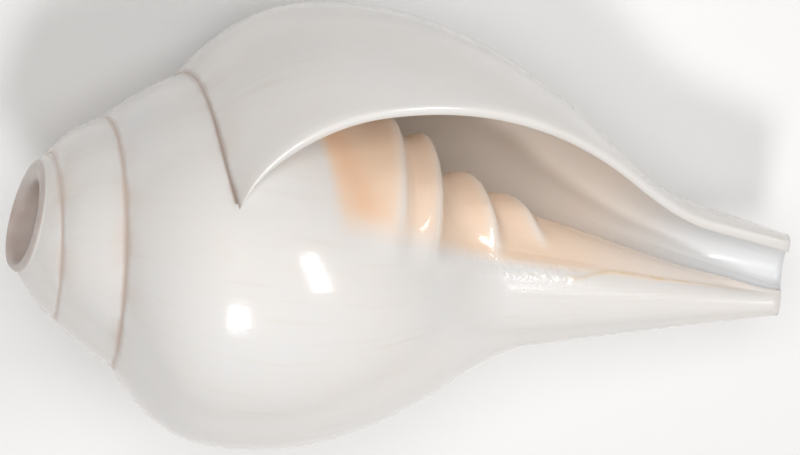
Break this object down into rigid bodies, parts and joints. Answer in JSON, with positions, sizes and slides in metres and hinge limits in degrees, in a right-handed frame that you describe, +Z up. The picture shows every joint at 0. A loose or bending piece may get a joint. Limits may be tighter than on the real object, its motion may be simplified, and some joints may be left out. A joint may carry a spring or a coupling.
{
  "type": "conch shell",
  "caption": "Polished blowing conch with a short stepped spire, cut tip with a mouth hole, swept lip, folded columella and a long open canal.",
  "frame": {"origin": "middle of the bounding box, on the surface it rests on", "axes": "+X along the coiling axis from the cut tip to the end of the canal, +Z up with the shell lying on its back, +Y toward the outer lip"},
  "size_m": [0.1528, 0.0872, 0.0803],
  "materials": {
    "shell": "polished warm-white shell with a peach columella and tan seams"
  },
  "bodies": {
    "root": {"shell": "shell"}
  },
  "joints": []
}
